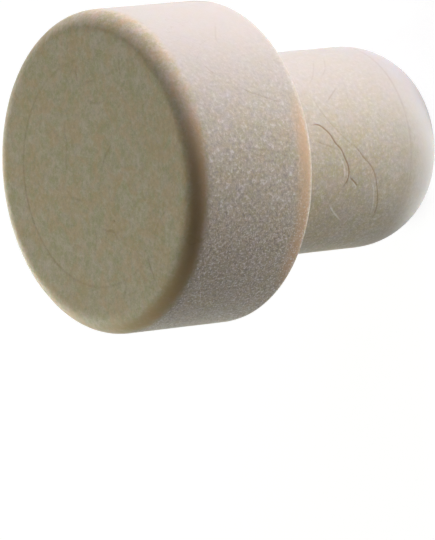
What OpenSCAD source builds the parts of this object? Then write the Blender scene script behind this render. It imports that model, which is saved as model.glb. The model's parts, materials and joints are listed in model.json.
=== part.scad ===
// T-shaped bottle stopper, moulded in one piece: a wide round head to grip
// and a narrower solid plug with a rounded nose, which is pressed into a
// bottle's neck until the head's shoulder sits on the lip.
// It stands on the flat end of its nose, with the head up. Millimetres.

/* [Head] */
// Diameter of the head
head_d = 30; // [26:0.5:40]
// Height of the head, from its shoulder to its face
head_h = 14.1; // [8:0.1:24]
// Radius of the rounded edge round the face
face_edge_r = 1.9; // [0.5:0.1:4]
// Radius of the small rounded edge round the shoulder
shoulder_edge_r = 0.9; // [0.3:0.1:1.5]

/* [Plug] */
// Diameter of the plug's straight wall, which grips the neck
plug_d = 19; // [15:0.1:20.5]
// Length of the plug, from the shoulder to its flat end
plug_len = 21.1; // [14:0.1:32]
// Radius of the corner where the plug meets the shoulder
root_r = 0.5; // [0.2:0.1:1]

/* [Nose] */
// Radius of the long curve that leaves the plug's wall
nose_side_r = 7.2; // [5:0.1:7.5]
// Radius of the tight curve that runs into the flat end
nose_tip_r = 2.2; // [1:0.1:3]

/* [Hidden] */
$fn = 96;
head_r = head_d / 2;
plug_r = plug_d / 2;

// Heights above the flat end
shoulder_z = plug_len;
face_z = plug_len + head_h;

// The nose's two arcs run into each other where the surface leans 4 out for
// 3 down, so both centres lie on the long side of a 3-4-5 triangle
turn = [0.8, -0.6];
centre_step = nose_side_r - nose_tip_r;
nose_h = nose_tip_r - centre_step * turn.y;
side_centre = [plug_r - nose_side_r, nose_h];
tip_centre = side_centre + centre_step * turn;

stopper_colour = "#c4b69c";

// Half section of the head, with both edges rounded
module head_section() {
    side_low = shoulder_z + shoulder_edge_r;
    side_high = face_z - face_edge_r;
    translate([0, side_low]) square([head_r, side_high - side_low]);
    translate([0, side_low]) square([head_r - face_edge_r, face_z - side_low]);
    translate([0, shoulder_z]) square([head_r - shoulder_edge_r, side_high - shoulder_z]);
    translate([head_r - face_edge_r, side_high]) circle(r = face_edge_r);
    translate([head_r - shoulder_edge_r, side_low]) circle(r = shoulder_edge_r);
}

// Half section of the plug's straight wall, up into the head, and of the
// fillet at its root
module wall_section() {
    root_z = shoulder_z - root_r;
    translate([0, nose_h]) square([plug_r, face_z - face_edge_r - nose_h]);
    difference() {
        translate([0, root_z]) square([plug_r + root_r, 2 * root_r]);
        translate([plug_r + root_r, root_z]) circle(r = root_r);
    }
}

// Slice of the circle that the nose's side follows, from its turn into the
// tip curve, past the wall's end and as far again up inside the wall
module nose_side_section() {
    reach = 2 * nose_side_r;
    intersection() {
        translate(side_centre) circle(r = nose_side_r);
        polygon([
            side_centre,
            side_centre + reach * turn,
            side_centre + reach * [turn.x, -turn.y]
        ]);
    }
}

// Half section of the nose: the side curve, the tip curve and the core
module nose_section() {
    nose_side_section();
    translate(tip_centre) circle(r = nose_tip_r);
    square([tip_centre.x, shoulder_z]);
}

module stopper() {
    color(stopper_colour)
        rotate_extrude() {
            head_section();
            wall_section();
            nose_section();
        }
}

stopper();
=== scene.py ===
"""A moulded T-shaped bottle stopper, its skin and marks, in a plain white studio."""

import json
import math

import bmesh
import bpy
from bpy.props import FloatProperty, FloatVectorProperty, PointerProperty
from mathutils import Matrix, Vector, noise
from mathutils.kdtree import KDTree


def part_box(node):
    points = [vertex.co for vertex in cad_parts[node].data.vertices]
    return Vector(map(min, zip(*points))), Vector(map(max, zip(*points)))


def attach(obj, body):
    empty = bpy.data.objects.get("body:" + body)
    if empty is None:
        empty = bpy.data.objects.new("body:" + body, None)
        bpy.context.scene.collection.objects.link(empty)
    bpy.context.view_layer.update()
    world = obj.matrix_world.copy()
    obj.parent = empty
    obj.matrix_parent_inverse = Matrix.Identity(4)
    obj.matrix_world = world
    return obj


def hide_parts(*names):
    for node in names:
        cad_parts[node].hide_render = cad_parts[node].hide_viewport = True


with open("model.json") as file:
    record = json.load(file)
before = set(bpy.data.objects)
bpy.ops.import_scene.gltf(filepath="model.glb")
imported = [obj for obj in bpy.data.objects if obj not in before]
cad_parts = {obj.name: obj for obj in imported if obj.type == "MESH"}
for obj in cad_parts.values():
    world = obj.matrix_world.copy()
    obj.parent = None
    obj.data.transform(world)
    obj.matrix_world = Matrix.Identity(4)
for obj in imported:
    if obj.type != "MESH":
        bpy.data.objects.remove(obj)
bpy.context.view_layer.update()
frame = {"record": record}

bl_info = {
    "name": "Moulded bottle stopper",
    "version": (1, 0, 0),
    "blender": (4, 5, 0),
    "location": "View3D > Sidebar > Stopper",
    "description": "Builds a moulded T-shaped bottle stopper and a white studio round it",
    "category": "Object",
}

NODE = "stopper"
MM = 0.001
MOUNTS = {mount["name"]: mount for mount in frame["record"]["mounts"]}
LOW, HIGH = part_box(NODE)
PLUG = MOUNTS["neck_plug"]
PLUG_MIDDLE = PLUG["pos_m"][2]
PLUG_LENGTH = PLUG["dims"]["length_mm"] * MM

# The nose's two curves meet where the surface leans 4 out for 3 down
NOSE_TURN = Vector((0.8, -0.6))

# Points on a flow line and on a mould ring lie this far apart, and a flow line
# fades over this length at each end
LINE_STEP = 0.06 * MM
RING_STEP = 0.1 * MM
LINE_FADE = 1.2 * MM
# The mesh is cut finer this near to a flow line, with so many cuts in an edge
LINE_REACH = 0.36 * MM
LINE_CUTS = 3
# Stretches of the outline this near to a mould ring are parted into so many
RING_REACH = 0.5 * MM
RING_PARTS = 5

# Degrees round the axis, from the side past the front, where the painted shade on the
# face's edge is darkest and the painted glow before the head's rear edge is strongest
FACE_EDGE_SHADE_PEAK = 124
REAR_EDGE_GLOW_PEAK = 108

# How white the floor and the room show, the little light that the room gives,
# and how much of the lamps' light the floor sends back
SHOWN_WHITE = 0.91
ROOM_LIGHT = 0.02
FLOOR_GREY = 0.2
# The floor lies just under the foot, and the panels of light just above the floor
FLOOR_DROP = 0.02 * MM
PANEL_LIFT = 0.2 * MM

# Lines in the skin, where the plastic flowed together. Each has a strength and the points
# that it runs through. A strength below zero makes a pale line, a painted highlight along a low ridge.
# On the face a point is millimetres to the side and to the front of the axis.
FACE_LINES = (
    (0.40, ((10.2, -0.7), (9.4, -0.9), (8.3, -0.8))),
    (0.38, ((8.3, 0.0), (8.4, 0.8), (8.4, 1.8))),
    (0.40, ((10.5, 5.7), (9.5, 5.6), (8.1, 5.7))),
    (0.30, ((6.7, 0.3), (6.3, 1.6), (6.5, 3.0))),
    (0.30, ((5.4, -3.3), (4.3, -3.6), (2.9, -3.5), (1.5, -3.9), (-0.1, -4.0))),
    (0.32, ((-1.0, -4.5), (-1.9, -3.6), (-2.3, -2.5), (-2.6, -1.8))),
    (0.40, ((2.6, 3.6), (1.9, 2.6), (1.1, 1.8), (0.0, 1.2))),
    (0.28, ((2.7, -3.3), (2.8, -2.1), (2.6, -1.1))),
    (0.42, ((-5.0, 0.1), (-5.4, 1.0), (-5.5, 1.9), (-6.3, 2.5))),
    (0.42, ((-7.8, 6.7), (-8.7, 6.7), (-9.9, 7.1), (-10.9, 7.5))),
    (0.28, ((-3.9, 10.7), (-4.5, 9.6), (-5.5, 8.5), (-6.8, 7.7))),
    (0.32, ((-10.6, 3.1), (-11.2, 2.7), (-11.9, 2.4))),
    (0.26, ((-4.7, -0.8), (-6.1, -0.7), (-7.5, -1.3))),
    (0.28, ((-7.5, -4.4), (-6.4, -4.0), (-6.9, -2.4))),
    (0.90, ((-4.65, 2.25), (-4.55, 2.35))),
)
# On the head's side and the plug a point is degrees from the front and
# millimetres above the foot.
HEAD_LINES = (
    (0.36, ((27, 28.4), (24, 27.8), (22, 27.0), (20, 25.8), (18, 24.5), (17, 23.5))),
    (0.40, ((35, 30.8), (32, 30.4), (30, 30.0))),
    (0.32, ((-7, 31.0), (-3, 30.6), (0, 30.3), (2, 29.3), (1, 27.2), (0, 25.8),
            (-2, 24.4), (-4, 23.4))),
    (0.30, ((7, 28.6), (3, 28.7))),
    (0.30, ((56, 25.7), (47, 27.3), (43, 27.6))),
    (0.30, ((-13, 29.7), (-16, 28.6))),
)
PLUG_LINES = (
    (0.90, ((13, 16.6), (13, 15.6), (8, 14.6), (2, 14.0), (-2, 13.4), (-7, 13.0),
            (-12, 12.6), (-17, 12.5), (-21, 12.7), (-25, 13.3))),
    (0.85, ((-18, 12.4), (-22, 11.6), (-25, 11.2))),
    (0.34, ((30, 15.1), (23, 14.9), (16, 14.4), (11, 13.8), (5, 13.0), (1, 12.2), (-3, 11.4))),
    (0.62, ((1, 12.2), (-3, 11.4), (-8, 10.7), (-12, 10.0), (-17, 9.4), (-23, 9.0),
            (-30, 8.6), (-38, 8.2), (-45, 8.1), (-50, 8.1))),
    (0.42, ((5, 16.6), (2, 15.5), (0, 14.6), (-2, 13.9))),
    (0.30, ((64, 9.9), (51, 11.3), (42, 12.9))),
    (0.28, ((61, 11.5), (51, 12.7), (42, 14.0), (38, 15.1))),
    (0.40, ((36, 11.5), (30, 12.8), (25, 13.9))),
    # Pale lines: painted highlight along low ridges
    (-0.60, ((-6, 13.6), (-12, 13.1), (-16, 13.0), (-20, 13.1))),
    (-0.60, ((-20, 9.7), (-27, 9.2), (-36, 8.8), (-44, 8.6))),
    (-0.60, ((-21, 12.0), (-24, 11.5), (-26, 11.7))),
    (-0.80, ((-33, 14.3), (-37, 13.8), (-42, 12.9), (-47, 11.9))),
)


def mm(value):
    """Millimetres, in metres."""
    return value * MM


class StopperSizes(bpy.types.PropertyGroup):
    """Sizes of the stopper. Those of the solid come from the frame."""

    head_radius: FloatProperty(
        name="Head radius", description="Radius of the head's side",
        default=(HIGH.x - LOW.x) / 2, unit="LENGTH", precision=5)
    full_height: FloatProperty(
        name="Full height", description="Height of the face above the foot",
        default=HIGH.z, unit="LENGTH", precision=5)
    shoulder_height: FloatProperty(
        name="Shoulder height", description="Height of the head's underside above the foot",
        default=MOUNTS["shoulder"]["pos_m"][2], unit="LENGTH", precision=5)
    plug_radius: FloatProperty(
        name="Plug radius", description="Radius of the plug's straight wall",
        default=PLUG["dims"]["r_mm"] * MM, unit="LENGTH", precision=5)
    nose_height: FloatProperty(
        name="Nose height", description="Height at which the plug's wall turns into the nose",
        default=PLUG_MIDDLE - PLUG_LENGTH / 2, unit="LENGTH", precision=5)
    face_edge: FloatProperty(
        name="Face edge", description="Radius of the rounded edge round the face",
        default=mm(1.9), unit="LENGTH", precision=5)
    shoulder_edge: FloatProperty(
        name="Shoulder edge", description="Radius of the small edge round the shoulder",
        default=mm(0.9), unit="LENGTH", precision=5)
    root: FloatProperty(
        name="Root", description="Radius of the corner between the plug and the shoulder",
        default=mm(0.5), unit="LENGTH", precision=5)
    nose_side: FloatProperty(
        name="Nose side", description="Radius of the long curve that leaves the plug's wall",
        default=mm(7.2), unit="LENGTH", precision=5)
    nose_tip: FloatProperty(
        name="Nose tip", description="Radius of the tight curve that runs into the foot",
        default=mm(2.2), unit="LENGTH", precision=5)
    mesh_step: FloatProperty(
        name="Mesh step", description="Longest edge of the skin's mesh, away from its marks",
        default=mm(0.32), unit="LENGTH", precision=5)
    front: FloatProperty(
        name="Front", description="Direction round the axis of the side with the long flow lines",
        default=math.radians(25), subtype="ANGLE")
    face_ring: FloatProperty(
        name="Face ring", description="Radius of the fine ring that the mould left on the face",
        default=mm(10.5), unit="LENGTH", precision=5)
    nose_ring: FloatProperty(
        name="Nose ring", description="Height of the fine ring that the mould left round the nose",
        default=mm(4.9), unit="LENGTH", precision=5)
    mark_width: FloatProperty(
        name="Mark width", description="Half width of a flow line on the head's side or the plug",
        default=mm(0.09), unit="LENGTH", precision=6)
    ring_width: FloatProperty(
        name="Ring width", description="Half width of the mould's rings and the face's flow lines",
        default=mm(0.16), unit="LENGTH", precision=6)
    mark_depth: FloatProperty(
        name="Mark depth", description="Depth of the deepest flow line",
        default=mm(0.016), unit="LENGTH", precision=6)
    unevenness: FloatProperty(
        name="Unevenness", description="How far the skin waves in and out over a few millimetres",
        default=mm(0.008), unit="LENGTH", precision=6)


class StopperColours(bpy.types.PropertyGroup):
    """Colours of the skin, with the painted shade, glow and highlights that go over it."""

    smooth: FloatVectorProperty(
        name="Smooth skin", description="Colour of the smooth face, between its patches",
        subtype="COLOR", size=3, min=0, max=1, default=(0.69, 0.587, 0.487))
    wall: FloatVectorProperty(
        name="Wall", description="Colour of the head's side and the plug, between their patches",
        subtype="COLOR", size=3, min=0, max=1, default=(0.58, 0.518, 0.451))
    # Painted shade: the rounded edge of the face is painted warm brown, darkest on the front, where it
    # turns away from the lamps
    rim: FloatVectorProperty(
        name="Rim", description="Colour of the rounded edge of the face",
        subtype="COLOR", size=3, min=0, max=1, default=(0.58, 0.42, 0.23))
    # Painted glow: light that shone through the thin plastic before the head's rear edge, painted warm
    # into the skin
    edge: FloatVectorProperty(
        name="Edge", description="Colour of the thin, warm skin before the head's rear edge",
        subtype="COLOR", size=3, min=0, max=1, default=(0.70, 0.515, 0.325))
    nose: FloatVectorProperty(
        name="Nose", description="Colour of the smooth, paler nose",
        subtype="COLOR", size=3, min=0, max=1, default=(0.63, 0.585, 0.55))
    olive: FloatVectorProperty(
        name="Olive", description="Colour of the darker, greener patches",
        subtype="COLOR", size=3, min=0, max=1, default=(0.50, 0.46, 0.25))
    warm: FloatVectorProperty(
        name="Warm", description="Colour of the browner patches",
        subtype="COLOR", size=3, min=0, max=1, default=(0.66, 0.48, 0.29))
    # Painted shade: the grain's low places are darkened as shade in its hollows
    ground: FloatVectorProperty(
        name="Ground", description="Colour of the grain's low places",
        subtype="COLOR", size=3, min=0, max=1, default=(0.37, 0.32, 0.28))
    # Painted highlight: the grain's high places and the pale lines are painted pale where they catch
    # light
    pale: FloatVectorProperty(
        name="Pale", description="Colour of the grain's high places and the pale lines",
        subtype="COLOR", size=3, min=0, max=1, default=(0.85, 0.81, 0.77))
    # Painted glints: pale flecks that stand for light caught by the grain's facets
    painted_glint: FloatVectorProperty(
        name="Glint", description="Colour of the finest, palest flecks",
        subtype="COLOR", size=3, min=0, max=1, default=(0.95, 0.92, 0.91))
    line: FloatVectorProperty(
        name="Line", description="Colour of the dark flow lines",
        subtype="COLOR", size=3, min=0, max=1, default=(0.28, 0.16, 0.07))


class StudioSettings(bpy.types.PropertyGroup):
    """The camera, the floor and the lamps."""

    sight: FloatProperty(
        name="Sight", description="Angle between the line of sight and the stopper's axis",
        default=math.radians(51.35), subtype="ANGLE")
    lean: FloatProperty(
        name="Lean", description="How far the plug leans up from level, across the picture",
        default=math.radians(6.54), subtype="ANGLE")
    lens: FloatProperty(
        name="Lens", description="Focal length in millimetres on a 36 mm sensor",
        default=500, unit="CAMERA")
    face_depth: FloatProperty(
        name="Face depth", description="Distance from the camera to the middle of the face",
        default=mm(688.54), unit="LENGTH", precision=5)
    face_left: FloatProperty(
        name="Face left", description="How far the face lies left of the picture's middle",
        default=mm(11.397), unit="LENGTH", precision=5)
    face_up: FloatProperty(
        name="Face up", description="How far the face lies above the picture's middle",
        default=mm(8.894), unit="LENGTH", precision=5)
    floor_reach: FloatProperty(
        name="Floor reach", description="Half width of the square floor",
        default=3.0, unit="LENGTH")
    table_power: FloatProperty(
        name="Table power", description="Light that comes up from the pale table all round",
        default=0.085, unit="POWER")
    table_tint: FloatVectorProperty(
        name="Table tint", description="Colour of the light from the table",
        subtype="COLOR", size=3, min=0, max=1, default=(0.97, 1.0, 0.94))
    left_power: FloatProperty(
        name="Left power", description="Light from the bright part of the table, front left",
        default=0.016, unit="POWER")
    left_tint: FloatVectorProperty(
        name="Left tint", description="Colour of the light from the table, front left",
        subtype="COLOR", size=3, min=0, max=1, default=(1.0, 0.90, 0.92))
    nose_power: FloatProperty(
        name="Nose power", description="Light from the bright part of the table before the nose",
        default=0.0049, unit="POWER")
    nose_tint: FloatVectorProperty(
        name="Nose tint", description="Colour of the light from the table before the nose",
        subtype="COLOR", size=3, min=0, max=1, default=(0.96, 1.0, 1.0))
    key_power: FloatProperty(
        name="Key power", description="Light of the long lamp at the side",
        default=0.193, unit="POWER")
    key_tint: FloatVectorProperty(
        name="Key tint", description="Colour of the long lamp at the side",
        subtype="COLOR", size=3, min=0, max=1, default=(0.87, 0.86, 0.98))
    back_power: FloatProperty(
        name="Back power", description="Light of the lamp on the far side",
        default=0.34, unit="POWER")
    back_tint: FloatVectorProperty(
        name="Back tint", description="Colour of the lamp on the far side",
        subtype="COLOR", size=3, min=0, max=1, default=(1.0, 0.96, 0.92))
    face_power: FloatProperty(
        name="Face power", description="Light of the lamp behind and above, which reaches the face",
        default=0.97, unit="POWER")
    face_tint: FloatVectorProperty(
        name="Face tint", description="Colour of the lamp behind and above",
        subtype="COLOR", size=3, min=0, max=1, default=(0.96, 1.0, 0.87))


def line_points(start, end, step):
    """Points along a straight stretch, without its end."""
    start, end = Vector(start), Vector(end)
    count = max(1, math.ceil((end - start).length / step))
    return [start.lerp(end, i / count) for i in range(count)]


def arc_points(centre, radius, first, last, step):
    """Points along an arc, without its end. Angles in degrees, from outward towards up."""
    first, last = math.radians(first), math.radians(last)
    count = max(4, math.ceil(abs(last - first) * radius / step))
    centre = Vector(centre)
    turns = [first + (last - first) * i / count for i in range(count)]
    return [centre + radius * Vector((math.cos(turn), math.sin(turn))) for turn in turns]


def half_section(sizes):
    """The stopper's outline as (radius, height) points, from the face's middle to the foot's."""
    step = sizes.mesh_step
    side_top = sizes.full_height - sizes.face_edge
    side_low = sizes.shoulder_height + sizes.shoulder_edge
    root_z = sizes.shoulder_height - sizes.root
    nose = Vector((sizes.plug_radius - sizes.nose_side, sizes.nose_height))
    tip = nose + (sizes.nose_side - sizes.nose_tip) * NOSE_TURN
    turn = math.degrees(math.atan2(NOSE_TURN.y, NOSE_TURN.x))
    face_rim = sizes.head_radius - sizes.face_edge
    shoulder_rim = sizes.head_radius - sizes.shoulder_edge
    root_rim = sizes.plug_radius + sizes.root
    return (
        line_points((0, sizes.full_height), (face_rim, sizes.full_height), step)
        + arc_points((face_rim, side_top), sizes.face_edge, 90, 0, step)
        + line_points((sizes.head_radius, side_top), (sizes.head_radius, side_low), step)
        + arc_points((shoulder_rim, side_low), sizes.shoulder_edge, 0, -90, step)
        + line_points((shoulder_rim, sizes.shoulder_height), (root_rim, sizes.shoulder_height), step)
        + arc_points((root_rim, root_z), sizes.root, 90, 180, step)
        + line_points((sizes.plug_radius, root_z), (sizes.plug_radius, sizes.nose_height), step)
        + arc_points(nose, sizes.nose_side, 0, turn, step)
        + arc_points(tip, sizes.nose_tip, turn, -90, step)
        + line_points((tip.x, 0), (0, 0), step)
        + [Vector((0, 0))]
    )


def ring_count(radius, step, fewest=20, most=320):
    """How many points a ring has: doubled outwards, so that its edges stay short."""
    count = fewest
    while count < most and 2 * math.pi * radius / count > step:
        count *= 2
    return count


def spin_section(mesh, outline, step):
    """Spins the outline round the axis. A ring may have twice the points of the next."""
    rings = []
    for point in outline:
        if point.x < step / 100:
            rings.append([mesh.verts.new((0, 0, point.y))])
            continue
        count = ring_count(point.x, step)
        ring = []
        for i in range(count):
            turn = 2 * math.pi * i / count
            ring.append(mesh.verts.new((point.x * math.cos(turn), point.x * math.sin(turn), point.y)))
        rings.append(ring)
    for upper, lower in zip(rings, rings[1:]):
        bridge_rings(mesh, upper, lower)


def bridge_rings(mesh, upper, lower):
    """Faces between two rings, where one may have twice the points of the other or be a pole."""
    count = min(len(ring) for ring in (upper, lower) if len(ring) > 1)
    for i in range(count):
        above = ring_stretch(upper, i, count)
        below = ring_stretch(lower, i, count)
        mesh.faces.new(below + above[::-1])


def ring_stretch(ring, index, count):
    """The points of a ring from one of count equal steps to the next, both ends included."""
    if len(ring) == 1:
        return [ring[0]]
    share = len(ring) // count
    return [ring[(index * share + i) % len(ring)] for i in range(share + 1)]


def finer_near(outline, spot, reach, parts):
    """The outline with extra points in the stretches that lie near a spot on it."""
    finer = []
    for start, end in zip(outline, outline[1:]):
        near = (start.lerp(end, 0.5) - spot).length < reach
        count = parts if near else 1
        finer += [start.lerp(end, i / count) for i in range(count)]
    return finer + [outline[-1]]


def nose_radius(sizes, height):
    """Radius of the nose's long curve at a height."""
    drop = sizes.nose_height - height
    return sizes.plug_radius - sizes.nose_side + math.sqrt(sizes.nose_side ** 2 - drop ** 2)


def curve_point(before, start, end, after, share):
    """A point between start and end on a smooth curve that runs through all four."""
    slope = (end - before) * share
    bend = (2 * before - 5 * start + 4 * end - after) * share ** 2
    twist = (3 * start - before - 3 * end + after) * share ** 3
    return start + (slope + bend + twist) / 2


def smooth_path(points, step):
    """Points about a step apart on a smooth curve through the given ones."""
    points = [Vector(point) for point in points]
    run = [2 * points[0] - points[1]] + points + [2 * points[-1] - points[-2]]
    path = []
    for before, start, end, after in zip(run, run[1:], run[2:], run[3:]):
        count = max(2, math.ceil((end - start).length / step))
        path += [curve_point(before, start, end, after, i / count) for i in range(count)]
    return path + [points[-1]]


def tapered(path, strength, fade):
    """Pairs of a point and its strength, which fades towards both ends of the path."""
    lengths = [0.0]
    for start, end in zip(path, path[1:]):
        lengths.append(lengths[-1] + (end - start).length)
    fade = min(fade, 0.3 * lengths[-1])
    return [(point, strength * min(1, (0.2 * fade + min(along, lengths[-1] - along)) / fade))
            for point, along in zip(path, lengths)]


def front_and_side(turn):
    """Level directions from the axis to the front, and to the side of it where the key lamp is."""
    front = Vector((math.sin(turn), -math.cos(turn), 0))
    side = Vector((math.cos(turn), math.sin(turn), 0))
    return front, side


def face_line_marks(sizes):
    """Points on the face's flow lines, each with its strength and half width."""
    front, side = front_and_side(sizes.front)
    face = Vector((0, 0, sizes.full_height))
    marks = []
    for strength, points in FACE_LINES:
        path = smooth_path([(mm(across), mm(ahead)) for across, ahead in points], LINE_STEP)
        for point, level in tapered(path, strength, LINE_FADE):
            marks.append((side * point.x + front * point.y + face, level, sizes.ring_width))
    return marks


def wall_line_marks(sizes, lines, radius):
    """Points on the flow lines of the head's side or the plug, with their strength and half width."""
    front, side = front_and_side(sizes.front)
    marks = []
    for strength, points in lines:
        flat = [(math.radians(turn) * radius, mm(height)) for turn, height in points]
        for point, level in tapered(smooth_path(flat, LINE_STEP), strength, LINE_FADE):
            turn = point.x / radius
            out = front * math.cos(turn) + side * math.sin(turn)
            marks.append((out * radius + Vector((0, 0, point.y)), level, sizes.mark_width))
    return marks


def ring_marks(sizes, radius, height, peak, level, swing):
    """Points on a ring that the mould left, strongest at the peak, in degrees from the front."""
    count = math.ceil(2 * math.pi * radius / RING_STEP)
    marks = []
    for i in range(count):
        turn = 2 * math.pi * i / count
        strength = max(0, level + swing * math.cos(turn - math.radians(peak)))
        angle = sizes.front - math.pi / 2 + turn
        place = Vector((radius * math.cos(angle), radius * math.sin(angle), height))
        marks.append((place, strength, sizes.ring_width))
    return marks


def mark_tree(marks):
    """A search tree of the marks' points."""
    tree = KDTree(len(marks))
    for i, mark in enumerate(marks):
        tree.insert(mark[0], i)
    tree.balance()
    return tree


def refine_near(mesh, tree, reach, cuts):
    """Cuts the mesh finer near the marks."""
    faces = [face for face in mesh.faces if tree.find(face.calc_center_median())[2] < reach]
    edges = {edge for face in faces for edge in face.edges}
    bmesh.ops.subdivide_edges(mesh, edges=list(edges), cuts=cuts, use_grid_fill=True)


def ramp(value, low, high):
    """Zero at low and one at high, with a soft change between."""
    share = min(1, max(0, (value - low) / (high - low)))
    return share * share * (3 - 2 * share)


def wall_share(sizes, place):
    """Zero on the face and its rounded edge, and one on the head's side and all below it."""
    side_top = sizes.full_height - sizes.face_edge
    return ramp(place.z, side_top + mm(0.5), side_top + mm(0.1))


def texture_levels(sizes, place):
    """How much grain, glints and mottling the skin shows: most on the flank away from the key lamp,
    none on the nose. The glints are painted highlight, and the grain's pale tops and dark hollows are
    painted highlight and shade.
    """
    wall = wall_share(sizes, place)
    across = place.x * math.cos(sizes.front) + place.y * math.sin(sizes.front)
    ahead = place.x * math.sin(sizes.front) - place.y * math.cos(sizes.front)
    off_nose = ramp(place.z, mm(1), mm(9))
    # The head has more grain than the plug, and both have less on the key lamp's side and behind
    if place.z > sizes.shoulder_height:
        level, spots = 1.0, 0.15 + 0.6 * ramp(across, mm(12), mm(-2))
    else:
        level, spots = 0.5, 0.2 + 0.7 * ramp(across, mm(8), mm(-3))
    level *= off_nose * (0.55 + 0.45 * ramp(ahead, mm(-4), mm(6)))
    grain = level * ramp(across, mm(15), mm(-8))
    glints = level * ramp(across, 0, mm(-12))
    face = 1 - wall
    return wall * grain + face * 0.3, wall * glints, face + wall * off_nose * spots


def rim_shading_share(sizes, place):
    """Above zero for the painted shade on the rounded edge of the face, below zero for the painted
    glow before the head's rear edge in front.
    """
    side_top = sizes.full_height - sizes.face_edge
    side_low = sizes.shoulder_height + sizes.shoulder_edge
    turn = math.atan2(place.y, place.x) - sizes.front
    if place.z > side_top:
        out = place.xy.length - (sizes.head_radius - sizes.face_edge)
        slope = math.degrees(math.atan2(out, place.z - side_top))
        # Painted shade, darkest on the front and a quarter as strong all round
        share = 0.25 + 0.75 * ramp(math.cos(turn + math.radians(FACE_EDGE_SHADE_PEAK)), 0.4, 0.95)
        return ramp(slope, 12, 45) * ramp(slope, 82, 60) * share
    # Below zero: painted glow before the head's rear edge, strongest on the front
    above = ramp(place.z, side_low + mm(2.0), side_low + mm(0.1))
    below = ramp(place.z, side_low - mm(0.45), side_low - mm(0.1))
    return -above * below * ramp(math.cos(turn + math.radians(REAR_EDGE_GLOW_PEAK)), 0.72, 0.96)


def press_marks(mesh, sizes, marks):
    """Waves the skin a little, presses the marks into it and keeps their strength."""
    tree = mark_tree(marks)
    strength = mesh.verts.layers.float.new("flow_mark")
    wall = mesh.verts.layers.float.new("wall")
    grained = mesh.verts.layers.float.new("grained")
    glinting = mesh.verts.layers.float.new("glinting")
    mottled = mesh.verts.layers.float.new("mottled")
    rim = mesh.verts.layers.float.new("rim")
    nose = mesh.verts.layers.float.new("nose")
    moves = []
    mesh.normal_update()
    for vert in mesh.verts:
        place = vert.co / MM
        # The foot stays flat
        grounded = min(1, max(0, place.z - 0.1))
        wave = noise.noise(place / 4) + 0.3 * noise.noise(place / 1.2)
        height = sizes.unevenness * wave * grounded
        _, index, distance = tree.find(vert.co)
        _, level, width = marks[index]
        # A mark is a shallow groove between two low lips
        if distance < 5 * width:
            groove = math.exp(-(distance / width) ** 2)
            lip = 0.3 * math.exp(-((distance - 2 * width) / width) ** 2)
            height -= sizes.mark_depth * level * (groove - lip)
            vert[strength] = level * groove
        vert[wall] = wall_share(sizes, vert.co)
        vert[grained], vert[glinting], vert[mottled] = texture_levels(sizes, vert.co)
        vert[rim] = rim_shading_share(sizes, vert.co)
        vert[grained] *= 1 - 0.8 * abs(vert[rim])
        vert[nose] = ramp(vert.co.z, mm(7.0), mm(0.5))
        moves.append((vert, vert.normal * height))
    for vert, move in moves:
        vert.co += move


def add_node(tree, kind, inputs=None, **settings):
    """Adds a node. An input is a value, or a socket to link from."""
    made = tree.nodes.new(kind)
    for name, value in settings.items():
        setattr(made, name, value)
    for name, value in (inputs or {}).items():
        socket = made.inputs[name]
        if isinstance(value, bpy.types.NodeSocket):
            tree.links.new(value, socket)
        else:
            socket.default_value = value
    return made


def noise_value(tree, place, scale, detail=2.0, roughness=0.5, distortion=0.0):
    """Soft noise, with its scale in features to the millimetre."""
    inputs = {
        "Vector": place,
        "Scale": scale,
        "Detail": detail,
        "Roughness": roughness,
        "Distortion": distortion,
    }
    return add_node(tree, "ShaderNodeTexNoise", inputs).outputs["Fac"]


def soft_step(tree, value, low, high, most=1.0):
    """Zero below low and most above high, with a soft change between."""
    inputs = {"Value": value, "From Min": low, "From Max": high, "To Max": most}
    step = add_node(tree, "ShaderNodeMapRange", inputs, interpolation_type="SMOOTHSTEP")
    return step.outputs["Result"]


def between(tree, value, low, high):
    """A value from zero to one, brought to between low and high."""
    inputs = {"Value": value, "To Min": low, "To Max": high}
    return add_node(tree, "ShaderNodeMapRange", inputs).outputs["Result"]


def blend(tree, factor, first, second):
    """One colour over another."""
    second = second if isinstance(second, bpy.types.NodeSocket) else (*second, 1)
    first = first if isinstance(first, bpy.types.NodeSocket) else (*first, 1)
    mix = add_node(tree, "ShaderNodeMix", {0: factor, 6: first, 7: second}, data_type="RGBA")
    return mix.outputs[2]


def math_value(tree, operation, first, second=0.0):
    """The result of a sum with one or two values."""
    return add_node(tree, "ShaderNodeMath", {0: first, 1: second}, operation=operation).outputs[0]


def moved(tree, place, offset):
    """The same place in another part of a noise."""
    return add_node(tree, "ShaderNodeVectorMath", {0: place, 1: offset}, operation="ADD").outputs[0]


def attribute_value(tree, name):
    """A value that the mesh keeps at its points."""
    return add_node(tree, "ShaderNodeAttribute", attribute_name=name).outputs["Fac"]


def mottled_colour(tree, place, share, wall, colour, colours):
    """A colour with greener and browner patches, from some millimetres down to fine specks."""
    green = soft_step(tree, noise_value(tree, place, 0.6, 5, 0.95), 0.36, 0.64, 0.9)
    colour = blend(tree, math_value(tree, "MULTIPLY", green, share), colour, colours.olive)
    brown = noise_value(tree, moved(tree, place, (31, 7, 19)), 0.45, 4, 0.65, 0.6)
    brown = math_value(tree, "MULTIPLY", soft_step(tree, brown, 0.42, 0.62, 0.6), share)
    brown = math_value(tree, "MULTIPLY", brown, soft_step(tree, wall, 2.0, 0.0))
    return blend(tree, brown, colour, colours.warm)


def hairline_value(tree, place):
    """Thin wandering lines, which come and go."""
    path = noise_value(tree, moved(tree, place, (5, 43, 11)), 0.16, 2, 0.45, 1.2)
    away = math_value(tree, "ABSOLUTE", math_value(tree, "SUBTRACT", path, 0.5))
    thin = soft_step(tree, away, 0.006, 0.001)
    shown = soft_step(tree, noise_value(tree, moved(tree, place, (2, 17, 71)), 0.2), 0.5, 0.65, 0.12)
    return math_value(tree, "MULTIPLY", thin, shown)


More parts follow.
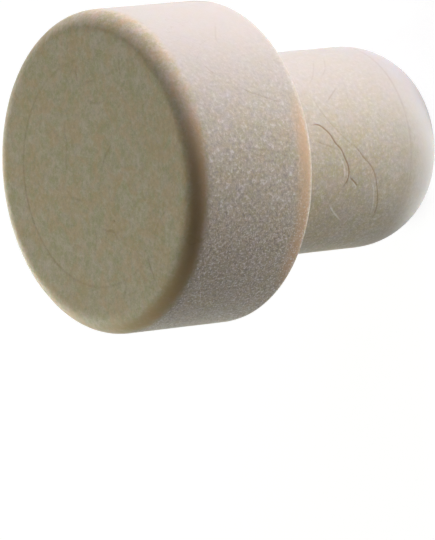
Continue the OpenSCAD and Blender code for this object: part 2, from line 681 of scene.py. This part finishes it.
def skin_material(colours):
    """The stopper's matte moulded skin."""
    material = bpy.data.materials.new("moulded_skin")
    material.use_nodes = True
    tree = material.node_tree
    tree.nodes.clear()
    metres = add_node(tree, "ShaderNodeTexCoord").outputs["Object"]
    scaled = add_node(tree, "ShaderNodeVectorMath", {0: metres, "Scale": 1 / MM}, operation="SCALE")
    place = scaled.outputs[0]
    wall = attribute_value(tree, "wall")
    rim = attribute_value(tree, "rim")
    coarse = attribute_value(tree, "grained")
    fine = attribute_value(tree, "glinting")
    patches = attribute_value(tree, "mottled")
    mark = attribute_value(tree, "flow_mark")
    grain = noise_value(tree, place, 2.8, 3, 0.7)
    glints = noise_value(tree, moved(tree, place, (3, 29, 13)), 6.0, 1)

    # Each layer of colour goes over the one before it
    colour = blend(tree, wall, colours.smooth, colours.wall)
    colour = blend(tree, attribute_value(tree, "nose"), colour, colours.nose)
    colour = mottled_colour(tree, place, patches, wall, colour, colours)
    # Painted shade on the rounded edge of the face
    colour = blend(tree, soft_step(tree, rim, 0.0, 1.0, 0.8), colour, colours.rim)
    # Painted glow before the head's rear edge
    colour = blend(tree, soft_step(tree, rim, 0.0, -1.0), colour, colours.edge)
    colour = blend(tree, hairline_value(tree, place), colour, colours.line)
    # Painted shade in the grain's hollows and painted highlight on its tops, which follow its bumps
    low = math_value(tree, "MULTIPLY", soft_step(tree, grain, 0.5, 0.34, 0.8), coarse)
    colour = blend(tree, low, colour, colours.ground)
    high = math_value(tree, "MULTIPLY", soft_step(tree, grain, 0.52, 0.68, 0.8), coarse)
    colour = blend(tree, high, colour, colours.pale)
    # Painted glints, mostly on the flank away from the key lamp
    painted_glint = math_value(tree, "MULTIPLY", soft_step(tree, glints, 0.54, 0.66, 0.85), fine)
    colour = blend(tree, painted_glint, colour, colours.painted_glint)
    # Painted highlight along the pale lines, then the dark flow lines
    colour = blend(tree, soft_step(tree, mark, 0.0, -1.0, 0.8), colour, colours.pale)
    colour = blend(tree, soft_step(tree, mark, 0.0, 1.0, 0.85), colour, colours.line)

    # The grain's high places are smoother, and the relief is low where there is little grain
    relief = math_value(tree, "MULTIPLY", grain, between(tree, coarse, 0.25, 1.0))
    bump = add_node(tree, "ShaderNodeBump", {"Strength": 1.0, "Distance": mm(0.06), "Height": relief})
    shader = add_node(tree, "ShaderNodeBsdfPrincipled", {
        "Base Color": colour,
        "Roughness": between(tree, grain, 0.6, 0.4),
        "Normal": bump.outputs["Normal"],
        "Specular IOR Level": 0.15,
        "Subsurface Weight": 0.5,
        "Subsurface Radius": (1.0, 0.45, 0.2),
        "Subsurface Scale": mm(0.9),
    })
    add_node(tree, "ShaderNodeOutputMaterial", {"Surface": shader.outputs["BSDF"]})
    return material


class STOPPER_OT_build_stopper(bpy.types.Operator):
    """Build the stopper's skin over its solid"""

    bl_idname = "stopper.build_stopper"
    bl_label = "Build stopper"

    def execute(self, context):
        sizes = context.scene.stopper_sizes
        colours = context.scene.stopper_colours
        mesh = bmesh.new()
        nose_ring = Vector((nose_radius(sizes, sizes.nose_ring), sizes.nose_ring))
        face_ring = Vector((sizes.face_ring, sizes.full_height))
        outline = half_section(sizes)
        for spot in (nose_ring, face_ring):
            outline = finer_near(outline, spot, RING_REACH, RING_PARTS)
        spin_section(mesh, outline, sizes.mesh_step)
        lines = face_line_marks(sizes)
        lines += wall_line_marks(sizes, HEAD_LINES, sizes.head_radius)
        lines += wall_line_marks(sizes, PLUG_LINES, sizes.plug_radius)
        refine_near(mesh, mark_tree(lines), LINE_REACH, LINE_CUTS)
        rings = ring_marks(sizes, *face_ring, peak=200, level=0.24, swing=0.18)
        rings += ring_marks(sizes, *nose_ring, peak=30, level=0.04, swing=0.26)
        press_marks(mesh, sizes, lines + rings)
        data = bpy.data.meshes.new("stopper_skin")
        mesh.to_mesh(data)
        mesh.free()
        data.polygons.foreach_set("use_smooth", [True] * len(data.polygons))
        skin = bpy.data.objects.new("stopper_skin", data)
        context.scene.collection.objects.link(skin)
        data.materials.append(skin_material(colours))
        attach(skin, "root")
        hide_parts(NODE)
        return {"FINISHED"}


def picture_axes(studio, front):
    """Right, up and back of the picture, in the stopper's frame."""
    height = math.pi / 2 - studio.sight
    flat_back, level = front_and_side(front)
    back = flat_back * math.cos(height) + Vector((0, 0, math.sin(height)))
    upright = back.cross(level)
    turn = -math.pi / 2 - studio.lean
    right = level * math.cos(turn) + upright * math.sin(turn)
    return right, back.cross(right), back


def add_camera(context, studio, front):
    """A long lens that sees the face from in front, with the plug across the picture."""
    right, up, back = picture_axes(studio, front)
    face = Vector((0, 0, HIGH.z))
    data = bpy.data.cameras.new("camera")
    data.lens = studio.lens
    data.sensor_width = 36
    data.clip_end = 100
    camera = bpy.data.objects.new("camera", data)
    place = face + right * studio.face_left - up * studio.face_up + back * studio.face_depth
    camera.matrix_world = Matrix.Translation(place) @ Matrix((right, up, back)).transposed().to_4x4()
    context.scene.collection.objects.link(camera)
    context.scene.camera = camera


def add_lamp(context, name, target, direction, distance, size, power, colour):
    """A soft lamp that points at the target from one direction."""
    data = bpy.data.lights.new(name, "AREA")
    data.shape = "RECTANGLE"
    data.size, data.size_y = size
    data.energy = power
    data.color = colour
    lamp = bpy.data.objects.new(name, data)
    lamp.location = target + direction.normalized() * distance
    lamp.rotation_mode = "QUATERNION"
    lamp.rotation_quaternion = direction.to_track_quat("Z", "Y")
    lamp.visible_camera = False
    context.scene.collection.objects.link(lamp)


def add_panel(context, name, place, width, power, colour):
    """A square of light that lies on the table and faces up."""
    add_lamp(context, name, place, Vector((0, 0, -1)), 0, (width, width), power, colour)


def add_lamps(context, studio, turn):
    """The bright parts of the table, a low lamp at the side, and lamps on the far side and above."""
    front, side = front_and_side(turn)
    top = Vector((0, 0, 1))
    lift = PANEL_LIFT * top
    add_panel(
        context, "table", lift / 2,
        width=0.6, power=studio.table_power, colour=studio.table_tint)
    add_panel(
        context, "left", (front - side * 0.32).normalized() * 0.065 + lift,
        width=0.08, power=studio.left_power, colour=studio.left_tint)
    add_panel(
        context, "before", front * 0.03 + lift,
        width=0.04, power=studio.nose_power, colour=studio.nose_tint)
    add_lamp(
        context, "key", target=mm(14) * top, direction=side + front * 0.42, distance=0.12,
        size=(0.12, 0.024), power=studio.key_power, colour=studio.key_tint)
    middle = top * (HIGH.z / 2)
    add_lamp(
        context, "back", target=middle, direction=-front - side * 0.15, distance=0.30,
        size=(0.2, 0.06), power=studio.back_power, colour=studio.back_tint)
    behind = math.radians(48)
    above = top * math.cos(behind) - front * math.sin(behind) - side * 0.4
    add_lamp(
        context, "face", target=middle, direction=above, distance=0.40,
        size=(0.25, 0.20), power=studio.face_power, colour=studio.face_tint)


def add_floor(context, studio):
    """A wide, flat floor."""
    data = bpy.data.meshes.new("floor")
    reach = studio.floor_reach
    corners = [(-reach, -reach, 0), (reach, -reach, 0), (reach, reach, 0), (-reach, reach, 0)]
    data.from_pydata(corners, [], [(0, 1, 2, 3)])
    data.materials.append(floor_material())
    floor = bpy.data.objects.new("floor", data)
    floor.location.z = -FLOOR_DROP
    context.scene.collection.objects.link(floor)


class STOPPER_OT_build_studio(bpy.types.Operator):
    """Build the floor, the lamps and the camera"""

    bl_idname = "stopper.build_studio"
    bl_label = "Build studio"

    def execute(self, context):
        studio = context.scene.stopper_studio
        turn = context.scene.stopper_sizes.front
        add_camera(context, studio, turn)
        add_lamps(context, studio, turn)
        add_floor(context, studio)
        context.scene.world = studio_world()
        context.scene.view_settings.view_transform = "Standard"
        return {"FINISHED"}


def shown_ray(tree):
    """One where a ray comes from the camera, a reflection or through glass."""
    path = add_node(tree, "ShaderNodeLightPath").outputs
    seen = math_value(tree, "MAXIMUM", path["Is Camera Ray"], path["Is Glossy Ray"])
    return math_value(tree, "MAXIMUM", seen, path["Is Transmission Ray"])


def floor_material():
    """White to the eye, with a little of the light that falls on it, so that it keeps a shadow."""
    material = bpy.data.materials.new("white_floor")
    material.use_nodes = True
    tree = material.node_tree
    tree.nodes.clear()
    strength = math_value(tree, "MULTIPLY", shown_ray(tree), SHOWN_WHITE)
    glow = add_node(tree, "ShaderNodeEmission", {"Strength": strength})
    matte = add_node(tree, "ShaderNodeBsdfDiffuse", {"Color": (FLOOR_GREY, FLOOR_GREY, FLOOR_GREY, 1)})
    both = add_node(tree, "ShaderNodeAddShader", {0: glow.outputs[0], 1: matte.outputs[0]})
    add_node(tree, "ShaderNodeOutputMaterial", {"Surface": both.outputs[0]})
    return material


def studio_world():
    """A dim room that shows as white."""
    world = bpy.data.worlds.new("studio")
    world.use_nodes = True
    tree = world.node_tree
    tree.nodes.clear()
    level = between(tree, shown_ray(tree), ROOM_LIGHT, SHOWN_WHITE)
    light = add_node(tree, "ShaderNodeBackground", {"Color": (1, 1, 1, 1), "Strength": level})
    add_node(tree, "ShaderNodeOutputWorld", {"Surface": light.outputs[0]})
    return world


class STOPPER_PT_builders(bpy.types.Panel):
    """Buttons that build the stopper and its studio, with their settings"""

    bl_label = "Stopper"
    bl_idname = "STOPPER_PT_builders"
    bl_space_type = "VIEW_3D"
    bl_region_type = "UI"
    bl_category = "Stopper"

    def draw(self, context):
        scene = context.scene
        for operator in (STOPPER_OT_build_stopper, STOPPER_OT_build_studio):
            self.layout.operator(operator.bl_idname)
        for settings in (scene.stopper_sizes, scene.stopper_colours, scene.stopper_studio):
            box = self.layout.box()
            for name in settings.__annotations__:
                box.prop(settings, name)


CLASSES = (
    StopperSizes,
    StopperColours,
    StudioSettings,
    STOPPER_OT_build_stopper,
    STOPPER_OT_build_studio,
    STOPPER_PT_builders,
)


def register():
    for item in CLASSES:
        bpy.utils.register_class(item)
    bpy.types.Scene.stopper_sizes = PointerProperty(type=StopperSizes)
    bpy.types.Scene.stopper_colours = PointerProperty(type=StopperColours)
    bpy.types.Scene.stopper_studio = PointerProperty(type=StudioSettings)


def unregister():
    del bpy.types.Scene.stopper_studio
    del bpy.types.Scene.stopper_colours
    del bpy.types.Scene.stopper_sizes
    for item in reversed(CLASSES):
        bpy.utils.unregister_class(item)


def main():
    register()
    bpy.ops.stopper.build_stopper()
    bpy.ops.stopper.build_studio()


if __name__ == "__main__":
    main()
